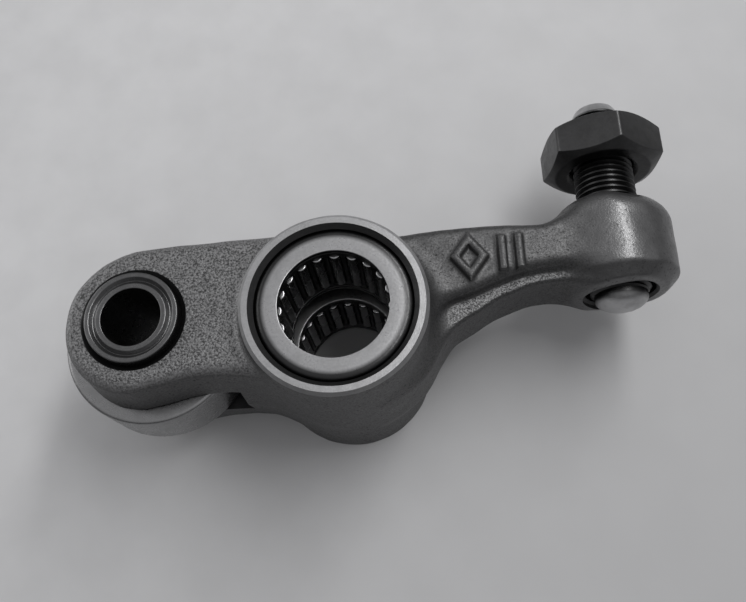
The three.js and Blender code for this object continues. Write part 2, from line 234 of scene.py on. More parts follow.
def box_mesh(low, high):
    vertices = list(itertools.product(*zip(low, high)))
    faces = [(0, 1, 3, 2), (4, 6, 7, 5), (0, 4, 5, 1), (2, 3, 7, 6), (0, 2, 6, 4), (1, 5, 7, 3)]
    return np.array(vertices, float), faces


def boolean(obj, operation, vertices, faces):
    """Cuts obj with, or joins it to, a closed mesh."""
    tool = new_object("cutter", vertices, faces)
    modifier = obj.modifiers.new("cut", "BOOLEAN")
    modifier.operation = operation
    modifier.solver = "MANIFOLD"
    modifier.object = tool
    evaluated = obj.evaluated_get(bpy.context.evaluated_depsgraph_get())
    result = bpy.data.meshes.new_from_object(evaluated)
    obj.modifiers.clear()
    old = obj.data
    obj.data = result
    bpy.data.meshes.remove(old)
    bpy.data.objects.remove(tool)
    return obj


# ---- forged arm: a distance field, meshed by surface nets ----
def rounded_outline(points, steps=5):
    """Closed smooth outline through the points, as a Catmull-Rom curve."""
    p = np.array(points, float)
    before, after, beyond = np.roll(p, 1, 0), np.roll(p, -1, 0), np.roll(p, -2, 0)
    pieces = []
    for t in np.arange(steps) / steps:
        pieces.append(
            0.5
            * (
                2 * p
                + (after - before) * t
                + (2 * before - 5 * p + 4 * after - beyond) * t**2
                + (3 * p - before - 3 * after + beyond) * t**3
            )
        )
    return np.stack(pieces, axis=1).reshape(-1, 2)


# Outlines seen from above. The fork's is at its inner faces; its draft draws it in from there.
FORK = rounded_outline(
    [
        (0, 9.6),
        (-4, 10.6),
        (-8.5, 10.9),
        (-16.4, 10.6),
        (-21, 10.4),
        (-25, 9.9),
        (-28.5, 8.3),
        (-31.6, 5.0),
        (-32.7, 0.5),
        (-31.6, -4.1),
        (-28.4, -7.4),
        (-24.6, -8.6),
        (-21.5, -8.2),
        (-18.5, -7.5),
        (-16, -7.15),
        (-12, -7.2),
        (-6, -8.0),
        (0, -8.0),
    ]
)
FAR_EDGE = [(8, 11.6), (14, 12.1), (20, 12.2), (24.6, 12.0)]
FAR_EDGE += [(26.5, 12.5), (28.3, 13.3), (30, 14.4), (34, 15.0)]
WEB = rounded_outline(
    [(0, 10.0), (4, 10.6)]
    + FAR_EDGE
    + [(36, 10), (35, 6.6), (29, 6.3), (25, 6.0), (22, 5.5), (19.5, 4.7), (16, 3.3), (13, 2.4)]
    + [(9.5, 1.2), (3, 0), (0, 0)]
)
FLANGE = rounded_outline(
    [(0, 10.2), (4, 10.9)]
    + [(x, y + 0.2) for x, y in FAR_EDGE]
    + [(36, 10), (35, 5.0), (28, 4.8), (24.5, 4.6), (22, 3.9), (19.4, 2.9), (17, 1.5), (14, -0.3)]
    + [(11.7, -2.6), (8.6, -6.2), (3, -7), (0, 0)]
)


def outline_distance(x, y, outline):
    """Distance to a closed outline, negative inside it."""
    nearest = np.full(np.broadcast(x, y).shape, np.inf)
    inside = np.zeros(nearest.shape, bool)
    for (ax, ay), (bx, by) in zip(outline, np.roll(outline, -1, 0)):
        ex, ey = bx - ax, by - ay
        wx, wy = x - ax, y - ay
        t = np.clip((wx * ex + wy * ey) / (ex * ex + ey * ey), 0, 1)
        nearest = np.minimum(nearest, (wx - ex * t) ** 2 + (wy - ey * t) ** 2)
        if ay != by:
            crosses = ((ay > y) != (by > y)) & (x < ex * (y - ay) / ey + ax)
            inside ^= crosses
    return np.where(inside, -1, 1) * np.sqrt(nearest)


def slab(side, face, edge):
    """Plate from its side and face distances, with edges rounded by `edge`."""
    a, b = side + edge, face + edge
    outside = np.hypot(np.maximum(a, 0), np.maximum(b, 0))
    return np.minimum(np.maximum(a, b), 0) + outside - edge


def melt(a, b, size):
    """Union of two fields with a fillet about `size` long."""
    overlap = np.maximum(size - np.abs(a - b), 0) / size
    return np.minimum(a, b) - overlap**2 * size / 4


def foundry_mark(x, y):
    """A generic mark: a diamond frame and two bars."""
    half_x, half_y = DIAMOND_HALF
    slope = half_x * half_y / math.hypot(half_x, half_y)
    from_centre = np.abs(x - DIAMOND_AT[0]) / half_x + np.abs(y - DIAMOND_AT[1]) / half_y
    mark = np.abs((from_centre - 1) * slope) - MARK_LINE_HALF
    for bar_x, bar_y in BARS_AT:
        across, along = np.abs(x - bar_x) - MARK_LINE_HALF, np.abs(y - bar_y) - BAR_HALF_LENGTH
        mark = np.minimum(mark, np.maximum(across, along))
    return mark


def unevenness(x, y, z):
    """Gentle lumps of a forged skin."""
    waves = [(1.1, 0.7, 0.5, 0.3), (-0.6, 1.3, 0.8, 1.7), (0.9, -1.0, 1.2, 2.9), (2.3, 1.9, -1.4, 0.8)]
    total = 0
    for kx, ky, kz, phase in waves:
        total = total + np.sin(kx * x + phase) * np.sin(ky * y + 2 * phase) * np.cos(kz * z + phase)
    return total * 0.018


def arm_distance(x, y, z):
    """Distance to the forging's skin, in millimetres, negative inside it."""
    up = np.abs(z - MIDDLE)
    hub = np.maximum(np.hypot(x, y) - HUB_RADIUS, up - MIDDLE - 1)
    fork_side = outline_distance(x, y, FORK) + DRAFT * (up - SLOT_HALF)
    fork = slab(fork_side, up - CHEEK_HALF, CHEEK_EDGE)
    web_outline = outline_distance(x, y, WEB)
    web = slab(web_outline + DRAFT * (up - FLANGE_HALF), up - WEB_HALF, WEB_EDGE)
    flange = slab(outline_distance(x, y, FLANGE), up - FLANGE_HALF, FLANGE_EDGE)
    radial = np.hypot(x - SCREW_X, z - MIDDLE)
    far = BOSS_FAR + BOSS_STOCK
    ends = np.abs(y - (BOSS_NEAR + far) / 2) - (far - BOSS_NEAR) / 2
    boss = slab(radial - BOSS_RADIUS, ends, BOSS_EDGE)
    chamfer = (radial - BOSS_RADIUS - (y - BOSS_NEAR - BOSS_CHAMFER)) / math.sqrt(2)
    boss = -melt(-boss, -chamfer, 0.2)
    far_chamfer = (radial - BOSS_RADIUS - (BOSS_FAR - BOSS_FAR_CHAMFER - y)) / math.sqrt(2)
    boss = -melt(-boss, -far_chamfer, 1.0)
    lever = melt(melt(web, flange, 0.9), boss, 2.6)
    body = melt(melt(hub, fork, 2.4), lever, 3.8)
    mark = slab(foundry_mark(x, y), z - MIDDLE - WEB_HALF - MARK_HEIGHT, MARK_EDGE)
    mark = np.maximum(mark, MIDDLE + WEB_HALF - 1 - z)
    return melt(body + unevenness(x, y, z), mark, 0.45)


def corner_offsets():
    return [np.array(c) for c in np.ndindex(2, 2, 2)]


def window(field, offset):
    """The field at one corner of every cell."""
    i, j, k = offset
    nx, ny, nz = (n - 1 for n in field.shape)
    return field[i : i + nx, j : j + ny, k : k + nz]


def surface_net(field, low, step):
    """Quads around the zero level of a field sampled on a grid."""
    corners = corner_offsets()
    signs = sum((window(field, c) < 0).astype(np.int8) for c in corners)
    active = (signs > 0) & (signs < 8)
    cells = np.argwhere(active)
    number = np.full(active.shape, -1, np.int64)
    number[active] = np.arange(len(cells))
    values = {tuple(c): window(field, c)[active] for c in corners}
    total, crossings = np.zeros((len(cells), 3)), np.zeros(len(cells))
    for a in corners:
        for axis in range(3):
            if a[axis]:
                continue
            b = a.copy()
            b[axis] = 1
            va, vb = values[tuple(a)], values[tuple(b)]
            crossed = (va < 0) != (vb < 0)
            t = va[crossed] / (va[crossed] - vb[crossed])
            total[crossed] += a + t[:, None] * (b - a)
            crossings[crossed] += 1
    points = low + step * (cells + total / crossings[:, None])
    quads = []
    for axis in range(3):
        u, v = (axis + 1) % 3, (axis + 2) % 3
        here = [slice(1, n - 1) for n in field.shape]
        here[axis] = slice(0, field.shape[axis] - 1)
        there = list(here)
        there[axis] = slice(1, field.shape[axis])
        first, second = field[tuple(here)] < 0, field[tuple(there)] < 0
        edges = np.argwhere(first != second)
        leaving = first[first != second]
        edges[:, u] += 1
        edges[:, v] += 1
        ring = []
        for du, dv in ((-1, -1), (0, -1), (0, 0), (-1, 0)):
            cell = edges.copy()
            cell[:, u] += du
            cell[:, v] += dv
            ring.append(number[tuple(cell.T)])
        quad = np.stack(ring, axis=1)
        quads.append(np.where(leaving[:, None], quad, quad[:, ::-1]))
    return points, np.concatenate(quads)


def settle(points, distance, rounds=2, reach=0.02):
    """Moves points onto the zero level along the field's slope."""
    for _ in range(rounds):
        x, y, z = points.T
        value = distance(x, y, z)
        slope = np.stack(
            [
                distance(x + reach, y, z) - distance(x - reach, y, z),
                distance(x, y + reach, z) - distance(x, y - reach, z),
                distance(x, y, z + reach) - distance(x, y, z - reach),
            ],
            axis=1,
        ) / (2 * reach)
        steep = np.maximum((slope**2).sum(1), 0.25)
        shift = -slope * (value / steep)[:, None]
        points = points + np.clip(shift, -GRID / 2, GRID / 2)
    return points


def forged_body():
    """Mesh of the forging before machining."""
    low = np.array([ARM_LOW[0] - 1, ARM_LOW[1] - 1, ARM_LOW[2] - 2])
    high = np.array([ARM_HIGH[0] + 1, ARM_HIGH[1] + 1, ARM_HIGH[2] + 2])
    axes = [np.arange(a, b + GRID, GRID) for a, b in zip(low, high)]
    field = arm_distance(axes[0][:, None, None], axes[1][None, :, None], axes[2][None, None, :])
    points, quads = surface_net(field, low, GRID)
    return settle(points, arm_distance), quads.tolist()


def machine(arm):
    """Faces, bores, slot and holes cut into the forging."""
    mouth = HUB_MOUTH - HUB_BORE
    bore = [
        (0, -3),
        (HUB_MOUTH, -3),
        (HUB_MOUTH, 0),
        (HUB_BORE, mouth),
        (HUB_BORE, HUB_LENGTH - mouth),
        (HUB_MOUTH, HUB_LENGTH),
        (HUB_MOUTH, HUB_LENGTH + 3),
        (0, HUB_LENGTH + 3),
    ]
    rim = HUB_RADIUS - HUB_EDGE
    skirt = HUB_RADIUS + 1.5
    reach = HUB_EDGE + 1.5
    bottom_face = [(0, -4), (skirt, -4), (skirt, reach), (rim, 0), (0, 0)]
    top_face = [(radius, HUB_LENGTH - height) for radius, height in reversed(bottom_face)]
    for profile in (top_face, bottom_face, bore):
        boolean(arm, "DIFFERENCE", *revolved(profile))
    slot_low = (ARM_LOW[0] - 5, ARM_LOW[1] - 5, MIDDLE - SLOT_HALF)
    slot_high = (SLOT_END, ARM_HIGH[1] + 5, MIDDLE + SLOT_HALF)
    boolean(arm, "DIFFERENCE", *box_mesh(slot_low, slot_high))
    seat_low = (SCREW_X - 12, BOSS_FAR, ARM_LOW[2])
    seat_high = (SCREW_X + 12, BOSS_FAR + 3, ARM_HIGH[2])
    boolean(arm, "DIFFERENCE", *box_mesh(seat_low, seat_high))
    low, high = MIDDLE - CHEEK_HALF, MIDDLE + CHEEK_HALF
    bore_radius = PIN_RADIUS + PIN_FIT
    sink = PIN_SINK - bore_radius
    pin_hole = [
        (0, low - 2),
        (PIN_SINK + 2, low - 2),
        (bore_radius, low + sink),
        (bore_radius, high - sink),
        (PIN_SINK + 2, high + 2),
        (0, high + 2),
    ]
    boolean(arm, "DIFFERENCE", *at_axle(pin_hole))
    floor = BOSS_NEAR + COUNTERBORE_DEPTH
    hole = [
        (0, BOSS_NEAR - 3),
        (COUNTERBORE + 0.35, BOSS_NEAR - 3),
        (COUNTERBORE + 0.35, BOSS_NEAR),
        (COUNTERBORE, BOSS_NEAR + 0.35),
        (COUNTERBORE, floor),
        (TAPPED_RADIUS, floor + 0.4),
        (TAPPED_RADIUS, BOSS_FAR - 0.4),
        (TAPPED_RADIUS + 0.4, BOSS_FAR),
        (TAPPED_RADIUS + 0.4, BOSS_FAR + 3),
        (0, BOSS_FAR + 3),
    ]
    vertices, faces = revolved(hole)
    boolean(arm, "DIFFERENCE", along_y(vertices), faces)
    return arm


def mark_machined_faces(arm):
    """Gives material 1 to the hub's machined faces, and 2 to its bore, the slot and the holes, whose
    near-black colour is painted shade.
    """
    mesh = arm.data
    count = len(mesh.polygons)
    centre, normal = np.zeros(count * 3), np.zeros(count * 3)
    mesh.polygons.foreach_get("center", centre)
    mesh.polygons.foreach_get("normal", normal)
    centre = centre.reshape(-1, 3) / MM
    normal = normal.reshape(-1, 3)
    from_hub = np.hypot(centre[:, 0], centre[:, 1])
    end = np.minimum(centre[:, 2], HUB_LENGTH - centre[:, 2])
    edge = (end < HUB_EDGE) & (from_hub > HUB_RADIUS - HUB_EDGE - 0.1) & (np.abs(normal[:, 2]) > 0.6)
    rim = (end < 0.02) | edge
    bore = from_hub < HUB_MOUTH - 0.02
    up = np.abs(centre[:, 2] - MIDDLE)
    from_axle = np.hypot(centre[:, 0] - AXLE[0], centre[:, 1] - AXLE[1])
    slot = (centre[:, 0] < SLOT_END + 0.01) & (up < SLOT_HALF + 0.01)
    from_screw = np.hypot(centre[:, 0] - SCREW_X, centre[:, 2] - MIDDLE)
    drilled = (from_screw < COUNTERBORE + 0.3) & (centre[:, 0] > 25)
    sunk = from_axle < PIN_SINK + 0.02
    kinds = np.where(bore | slot | drilled | sunk, 2, np.where(rim, 1, 0))
    mesh.polygons.foreach_set("material_index", kinds.astype(np.int32))


# ---- bearings ----
def cup(name, bottom, top):
    radius = (CUP_HIGH[0] - CUP_LOW[0]) / 2
    height = top - bottom
    profile = [
        (LIP_RADIUS, 0, 0.12),
        (radius, 0, CUP_CORNER),
        (radius, height, CUP_CORNER),
        (LIP_RADIUS, height, 0.12),
        (LIP_RADIUS, height - LIP_THICKNESS, 0.12),
        (RACEWAY_RADIUS, height - LIP_THICKNESS, 0.3),
        (RACEWAY_RADIUS, LIP_THICKNESS, 0.3),
        (LIP_RADIUS, LIP_THICKNESS, 0.12),
    ]
    vertices, faces = revolved(softened(profile, closed=True, steps=6), closed=True)
    return smooth(new_object(name, vertices, faces, (0, 0, bottom)), 35)


def cage(name, low, high, wall, count, needle_radius, needle_length):
    """Pressed ring with a window for each needle."""
    outer = (high[0] - low[0]) / 2
    half = (high[2] - low[2]) / 2
    inner = outer - wall
    profile = [(inner, -half, 0.1), (outer, -half, 0.2), (outer, half, 0.2), (inner, half, 0.1)]
    vertices, faces = revolved(softened(profile, closed=True, steps=3), count * 8, closed=True)
    centre = (low + high) / 2
    obj = new_object(name, vertices, faces, centre)
    windows, window_faces = [], []
    half_width, half_length = needle_radius + WINDOW_GAP, needle_length / 2 + WINDOW_GAP
    low_corner = (inner - 1, -half_width, -half_length)
    high_corner = (outer + 1, half_width, half_length)
    for i in range(count):
        corners, sides = box_mesh(low_corner, high_corner)
        turn = np.array(Matrix.Rotation(2 * math.pi * i / count, 3, "Z"))
        window_faces += [[c + 8 * i for c in side] for side in sides]
        windows.append(corners @ turn.T + centre)
    boolean(obj, "DIFFERENCE", np.concatenate(windows), window_faces)
    return smooth(obj, 35)


def length_of(needle_node):
    low, high = local_box(needle_node)
    return high[2] - low[2]


def needle(name, radius):
    """Ground needle with rounded ends, in place of the CAD node of the same name."""
    low, high = local_box(name)
    half = (high[2] - low[2]) / 2
    profile = [(0, -half), (radius, -half, radius * 0.3), (radius, half, radius * 0.3), (0, half)]
    vertices, faces = revolved(softened(profile, steps=4), 28)
    return smooth(new_object("visual_" + name, vertices, faces, (low + high) / 2), 40)


# ---- roller and pin ----
def cam_roller():
    radius = (ROLLER_HIGH[0] - ROLLER_LOW[0]) / 2
    half = (ROLLER_HIGH[2] - ROLLER_LOW[2]) / 2
    profile = [
        (ROLLER_BORE, -half, 0.25),
        (radius, -half, ROLLER_EDGE),
        (radius, half, ROLLER_EDGE),
        (ROLLER_BORE, half, 0.25),
    ]
    vertices, faces = revolved(softened(profile, closed=True, steps=5), 192, closed=True)
    return smooth(new_object("visual_cam_roller", vertices, faces, (AXLE[0], AXLE[1], MIDDLE)), 30)


def pin_end(face, end):
    """End spread into the cheek's countersink, with the groove of the staking punch."""
    out = math.copysign(1, end - face)
    return [
        (PIN_RADIUS, face - out * 0.97),
        (PIN_CREST, face - out * 0.65),
        (PIN_CREST, end, 0.18),
        (GROOVE_RADIUS + 0.4, end, 0.1),
        (GROOVE_RADIUS, end - out * GROOVE_DEPTH, 0.1),
        (GROOVE_RADIUS - 0.45, end, 0.1),
        (PIN_HOLE, end, 0.15),
    ]


def roller_pin():
    top = pin_end(MIDDLE + CHEEK_HALF, PIN_HIGH[2])
    bottom = pin_end(MIDDLE - CHEEK_HALF, PIN_LOW[2])[::-1]
    profile = softened(bottom + top, closed=True, steps=4)
    vertices, faces = revolved(profile, closed=True)
    return smooth(new_object("visual_roller_pin", vertices, faces, (AXLE[0], AXLE[1], 0)), 30)


# ---- adjuster ----
def thread_body(near, far, segments=72):
    """Closed right-handed thread about the z axis, a little longer than near to far."""
    crest = (SCREW_HIGH[0] - SCREW_LOW[0]) / 2
    column = [(THREAD_ROOT, 0.0), (THREAD_ROOT, 0.22), (crest, 0.58), (crest, 0.7)]
    turns = math.ceil((far - near) / THREAD_PITCH) + 3
    steps = turns * segments
    start = near - 2 * THREAD_PITCH
    vertices = []
    for t in range(steps + 1):
        angle = -2 * math.pi * t / segments
        for radius, share in column:
            height = start + THREAD_PITCH * (t / segments + share)
            vertices.append((radius * math.cos(angle), radius * math.sin(angle), height))
    vertices += [(0, 0, start - 1), (0, 0, start + THREAD_PITCH * (turns + 1) + 1)]
    near_point, far_point = len(vertices) - 2, len(vertices) - 1
    faces = []
    for t in range(steps):
        for j in range(3):
            faces.append((4 * t + j, 4 * t + j + 1, 4 * t + j + 5, 4 * t + j + 4))
        if t + 1 + segments <= steps:
            faces.append((4 * t + 3, 4 * (t + segments), 4 * (t + 1 + segments), 4 * t + 7))
    first = [4 * t for t in range(segments + 1)] + [3, 2, 1]
    last_turn = range(steps - 1, steps - segments - 1, -1)
    last = [4 * steps + j for j in range(4)] + [4 * t + 3 for t in last_turn]
    faces += [(near_point, a, b) for a, b in zip(first, first[1:] + first[:1])]
    faces += [(far_point, a, b) for a, b in zip(last, last[1:] + last[:1])]
    return np.array(vertices), faces


def consistent(vertices, faces):
    """The same closed mesh with every face turned outwards."""
    mesh = bpy.data.meshes.new("turning")
    mesh.from_pydata(np.asarray(vertices).tolist(), [], [list(f) for f in faces])
    work = bmesh.new()
    work.from_mesh(mesh)
    bmesh.ops.recalc_face_normals(work, faces=work.faces)
    result = [[v.index for v in face.verts] for face in work.faces]
    work.free()
    bpy.data.meshes.remove(mesh)
    return vertices, result


def adjuster_screw():
    """Thread trimmed to an envelope with a domed tip, with a driver slot in its far end."""
    near, far = SCREW_LOW[1], SCREW_HIGH[1]
    crest = (SCREW_HIGH[0] - SCREW_LOW[0]) / 2 + 0.02
    dome = THREAD_ROOT - 0.05
    envelope = [(0, near)]
    for degrees in range(12, 90, 12):
        a = math.radians(degrees)
        envelope.append((dome * math.sin(a), near + DOME_LENGTH * (1 - math.cos(a))))
    envelope += [
        (dome, near + DOME_LENGTH),
        (dome, near + DOME_LENGTH + 0.4),
        (crest, near + DOME_LENGTH + 0.8),
        (crest, far - 2.0),
        (THREAD_ROOT, far - 1.5),
        (SCREW_END_RADIUS, far, 0.25),
        (0, far),
    ]
    vertices, faces = consistent(*thread_body(near, far))
    screw = new_object("visual_adjuster_screw", along_y(vertices), faces)
    vertices, faces = revolved(softened(envelope), 96)
    boolean(screw, "INTERSECT", *consistent(along_y(vertices), faces))
    slot_low = (SCREW_X - 5, far - DRIVER_SLOT_DEPTH, MIDDLE - DRIVER_SLOT_HALF)
    slot_high = (SCREW_X + 5, far + 1, MIDDLE + DRIVER_SLOT_HALF)
    boolean(screw, "DIFFERENCE", *box_mesh(slot_low, slot_high))
    return smooth(screw, 28)


def hexagon_radius(angle):
    """Distance from the axis to a hexagon's side, with slightly rounded corners."""
    sides = [math.cos(angle - math.radians(60 * k)) for k in range(6)]
    nearest = sorted(NUT_FLATS / 2 / c for c in sides if c > 0.3)[:2]
    overlap = max(0.35 - abs(nearest[0] - nearest[1]), 0) / 0.35
    return nearest[0] - overlap**2 * 0.35 / 4


def lock_nut():
    """Hexagon nut chamfered on both faces, made as one ring of profiles."""
    near, far = NUT_LOW[1], NUT_HIGH[1]
    slope = math.tan(math.radians(NUT_CHAMFER))
    half_side = [0, 6, 11, 16, 21, 25, 27, 28, 28.8, 29.4]
    offsets = [-30] + [-o for o in half_side[:0:-1]] + half_side
    angles = [math.radians(60 * k + o) for k in range(6) for o in offsets]
    columns = []
    for angle in angles:
        side = hexagon_radius(angle)
        rise = (side - NUT_FACE_RADIUS) * slope
        profile = [
            (NUT_BORE, near + NUT_MOUTH_DEPTH, 0.1),
            (NUT_MOUTH, near, NUT_EDGE),
            (NUT_FACE_RADIUS, near, NUT_EDGE),
            (side, near + rise, NUT_EDGE),
            (side, far - rise, NUT_EDGE),
            (NUT_FACE_RADIUS, far, NUT_EDGE),
            (NUT_MOUTH, far, NUT_EDGE),
            (NUT_BORE, far - NUT_MOUTH_DEPTH, 0.1),
        ]
        columns.append(softened(profile, closed=True, steps=3))
    rows = len(columns[0])
    turn = math.radians(NUT_TURN)
    vertices = []
    for angle, column in zip(angles, columns):
        across, up = math.cos(angle + turn), math.sin(angle + turn)
        vertices += [(radius * across, radius * up, height) for radius, height in column]
    faces = []
    for i in range(len(angles)):
        k = (i + 1) % len(angles)
        for j in range(rows):
            m = (j + 1) % rows
            faces.append((rows * i + j, rows * k + j, rows * k + m, rows * i + m))
    vertices, faces = consistent(along_y(vertices), faces)
    return smooth(new_object("visual_lock_nut", vertices, faces), 20)


# ---- materials ----
class Nodes:
    """Small helper that adds and links shader nodes."""

    def __init__(self, name):
        self.material = bpy.data.materials.new(name)
        self.material.use_nodes = True
        self.tree = self.material.node_tree
        self.shader = self.tree.nodes["Principled BSDF"]

    def add(self, kind, values=None, **settings):
        node = self.tree.nodes.new(kind)
        for key, value in settings.items():
            setattr(node, key, value)
        for key, value in (values or {}).items():
            if hasattr(value, "is_output"):
                self.tree.links.new(value, node.inputs[key])
            else:
                node.inputs[key].default_value = value
        return node

    def wire(self, output, name):
        self.tree.links.new(output, self.shader.inputs[name])

    def position(self):
        """Object coordinates in millimetres."""
        coordinates = self.add("ShaderNodeTexCoord")
        scaled = self.add("ShaderNodeVectorMath", {0: coordinates.outputs["Object"]}, operation="SCALE")
        scaled.inputs["Scale"].default_value = 1 / MM
        return scaled.outputs[0]

    def noise(self, per_mm, detail=4, roughness=0.6):
        values = {"Vector": self.position(), "Scale": per_mm, "Detail": detail, "Roughness": roughness}
        return self.add("ShaderNodeTexNoise", values).outputs["Fac"]

    def ramp(self, factor, low, high, from_value, to_value):
        """Maps factor from low..high to from_value..to_value."""
        values = {"Value": factor, "From Min": low, "From Max": high}
        values |= {"To Min": from_value, "To Max": to_value}
        return self.add("ShaderNodeMapRange", values).outputs[0]

    def mix(self, factor, a, b):
        node = self.add("ShaderNodeMix", data_type="RGBA")
        for index, value in ((0, factor), (6, a), (7, b)):
            if hasattr(value, "is_output"):
                self.tree.links.new(value, node.inputs[index])
            else:
                node.inputs[index].default_value = value
        return node.outputs[2]

    def math(self, operation, a, b):
        return self.add("ShaderNodeMath", {0: a, 1: b}, operation=operation).outputs[0]

    def vector_math(self, operation, a, b):
        return self.add("ShaderNodeVectorMath", {0: a, 1: b}, operation=operation).outputs[0]

    def length(self, vector):
        return self.add("ShaderNodeVectorMath", {0: vector}, operation="LENGTH").outputs["Value"]

    def bump(self, height, distance_mm):
        node = self.add("ShaderNodeBump", {"Height": height, "Strength": 1.0})
        node.inputs["Distance"].default_value = distance_mm * MM
        self.wire(node.outputs[0], "Normal")


def grey(value):
    return (value, value, value * 1.01, 1)


def forging_material():
    """Forged skin: dark and satin on the walls, grainy on the flat tops. Painted light: a lighter colour on
    the flat cheek tops and the flange's top step, a painted highlight on the cheeks' rounded edges and a
    lighter skin on the boss that strengthens its highlight.
    """
    n = Nodes("forged_skin")
    fine = n.noise(4.2, 2, 0.6)
    coarse = n.noise(0.7, 4, 0.6)
    coordinates = n.add("ShaderNodeTexCoord")
    place = n.add("ShaderNodeSeparateXYZ", {0: n.position()}).outputs
    up = n.math("ABSOLUTE", n.add("ShaderNodeSeparateXYZ", {0: coordinates.outputs["Normal"]}).outputs[2], 0)
    level = n.math("ABSOLUTE", n.math("SUBTRACT", place[2], float(MIDDLE)), 0)
    flat = n.ramp(up, 0.8, 0.96, 0.0, 1.0)
    cheek = n.ramp(level, CHEEK_HALF - 0.9, CHEEK_HALF - 0.2, 0.0, 1.0)
    # painted light: the flange's top step gets the lighter colour of the cheek tops, though the web shades
    # it
    ledge = n.ramp(n.math("ABSOLUTE", n.math("SUBTRACT", level, FLANGE_HALF), 0), 0.5, 0.3, 0.0, 1.0)
    ledge = n.math("MULTIPLY", ledge, n.ramp(place[0], 12.8, 13.8, 0.0, 1.0))
    top_grain_and_painted_light = n.math("MULTIPLY", flat, n.math("MAXIMUM", cheek, ledge))
    # painted highlight: mask of the cheeks' rounded edges
    rounded = n.math("MULTIPLY", n.ramp(up, 0.35, 0.7, 0.0, 1.0), n.ramp(up, 0.9, 0.97, 1.0, 0.0))
    rounded = n.math("MULTIPLY", rounded, n.ramp(level, CHEEK_HALF - 1.6, CHEEK_HALF - 1.0, 0.0, 1.0))
    boss = n.ramp(place[0], 28.0, 32.5, 0.0, 1.0)
    speck = n.ramp(fine, 0.36, 0.6, 0.0, 1.0)
    pits = n.ramp(n.noise(2.6, 3, 0.7), 0.34, 0.42, 1.0, 0.0)
    dull = n.mix(speck, grey(0.07), grey(0.11))
    # painted sheen: a lighter skin on the boss strengthens its highlight
    dull = n.mix(n.math("MULTIPLY", boss, 0.7), dull, grey(0.18))
    # grain of the flat tops, made lighter as painted light
    grainy = n.mix(speck, grey(0.06), grey(0.25))
    patch = n.ramp(coarse, 0.4, 0.7, 0.0, 0.35)
    dull = n.mix(patch, dull, grey(0.08))
    skin = n.mix(top_grain_and_painted_light, dull, grainy)
    # painted highlight: the rounded cheek edges get a much lighter colour
    skin = n.mix(n.math("MULTIPLY", rounded, 0.8), skin, n.mix(speck, grey(0.17), grey(0.35)))
    n.wire(n.mix(n.math("MULTIPLY", pits, 0.6), skin, grey(0.04)), "Base Color")
    rough = n.math("ADD", n.ramp(fine, 0.3, 0.7, 0.54, 0.44), n.math("MULTIPLY", top_grain_and_painted_light, 0.06))
    rough = n.math("SUBTRACT", rough, n.math("MULTIPLY", boss, 0.16))
    n.wire(n.math("ADD", rough, n.math("MULTIPLY", pits, 0.2)), "Roughness")
    n.shader.inputs["Metallic"].default_value = 0.8
    grain = n.math("MULTIPLY", fine, n.ramp(top_grain_and_painted_light, 0.0, 1.0, 0.25, 1.0))
    n.bump(n.math("ADD", grain, n.math("MULTIPLY", coarse, 0.4)), 0.1)
    return n.material


def steel_material(name, value, roughness, per_mm=6.0, depth=0.01, metallic=1.0, dirt=0.5, dark=None):
    """Finished steel with fine tool marks, slight stains and uneven gloss.

    `dark` is a function that gives the share of a darker colour at a point: black oxide on the screw's
    thread, and painted shade in the cups, on the nut's inner faces and at the back of the screw's tip.
    """
    n = Nodes(name)
    marks = n.noise(per_mm, 3, 0.6)
    stain = n.noise(0.7, 3, 0.55)
    spots = n.ramp(stain, 0.42, 0.7, 0.0, dirt)
    base = n.mix(marks, grey(value * 0.85), grey(value * 1.1))
    base = n.mix(spots, base, grey(value * 0.55))
    if dark:
        # darker colour: black oxide on the screw's thread, painted shade on the cups and the nut
        base = n.mix(dark(n), base, grey(min(0.05, value / 4)))
    n.wire(base, "Base Color")
    gloss = n.ramp(marks, 0.3, 0.7, roughness * 0.85, roughness * 1.15)
    n.wire(n.math("ADD", gloss, n.ramp(stain, 0.4, 0.7, 0.0, 0.08)), "Roughness")
    n.shader.inputs["Metallic"].default_value = metallic
    n.bump(marks, depth)
    return n.material


def cup_painted_shade(n):
    """Share of painted shade: 1 on a cup's rounded corners and inner surfaces, 0 on its polished end faces.
    """
    place = n.position()
    radius = n.length(n.vector_math("MULTIPLY", place, (1, 1, 0)))
    length = float(CUP_HIGH[2] - CUP_LOW[2])
    height = n.add("ShaderNodeSeparateXYZ", {0: place}).outputs[2]
    reach = n.math("ABSOLUTE", n.math("SUBTRACT", height, length / 2), 0)
    inside = n.ramp(reach, length / 2 - 0.35, length / 2 - 0.12, 1.0, 0.0)
    corner = n.ramp(radius, 7.75, 8.25, 0.0, 1.0)
    return n.math("MAXIMUM", inside, corner)


def nut_face_painted_shade(n):
    """Share of painted shade: 1 near the screw, on the nut's inner faces, 0 on its sides and chamfers."""
    centred = n.vector_math("SUBTRACT", n.position(), (SCREW_X, 0, MIDDLE))
    radius = n.length(n.vector_math("MULTIPLY", centred, (1, 0, 1)))
    return n.ramp(radius, 6.0, 6.25, 0.9, 0.0)


def away_from_screw_ends(n):
    """1 along the oxidised thread and, as painted shade, over the back of the domed tip; 0 on the rest of
    the ground tip and on the turned end.
    """
    along = n.add("ShaderNodeSeparateXYZ", {0: n.position()}).outputs[1]
    # painted shade: the dark starts partway up the dome, where the counterbore shades the tip
    tip = n.ramp(along, float(SCREW_LOW[1]) + 0.9, float(SCREW_LOW[1]) + 1.5, 0.0, 1.0)
    end = n.ramp(along, float(SCREW_HIGH[1]) - 1.6, float(SCREW_HIGH[1]) - 1.3, 1.0, 0.0)
    return n.math("MINIMUM", tip, end)


